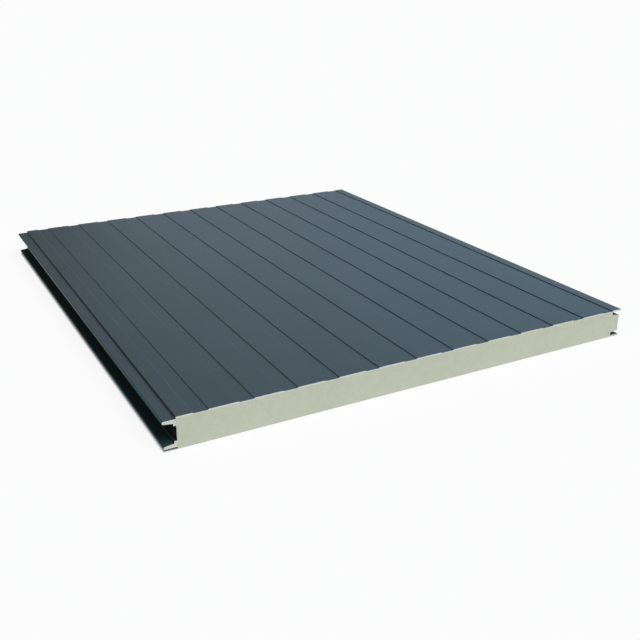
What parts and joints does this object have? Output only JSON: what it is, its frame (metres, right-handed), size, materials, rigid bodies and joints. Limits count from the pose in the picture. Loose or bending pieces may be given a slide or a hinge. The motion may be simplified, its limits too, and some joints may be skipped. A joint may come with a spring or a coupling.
{
  "type": "insulated sandwich panel",
  "caption": "Flat insulated building panel with a foam core between two steel sheets, shallow lengthwise bands on the outer face and a tongue-and-recess edge joint.",
  "frame": {"origin": "middle of the underside: centre of the panel's length and overall width, on the flat face of the inner sheet", "axes": "+X across the panel from the recess edge to the tongue edge, +Y along its length, +Z from the flat inner face up to the banded outer face"},
  "size_m": [1.0226, 1.2, 0.06],
  "materials": {
    "outer_coating": "satin anthracite blue-grey coil coating on steel",
    "inner_coating": "satin anthracite blue-grey coil coating on steel",
    "rigid_foam": "sawn fine-celled rigid foam, pale greenish beige",
    "sealing_strip": "matt black soft sealing strip"
  },
  "bodies": {
    "root": {"outer_sheet": "outer_coating", "inner_sheet": "inner_coating", "foam_core": "rigid_foam", "joint_liner": "sealing_strip"}
  },
  "joints": []
}
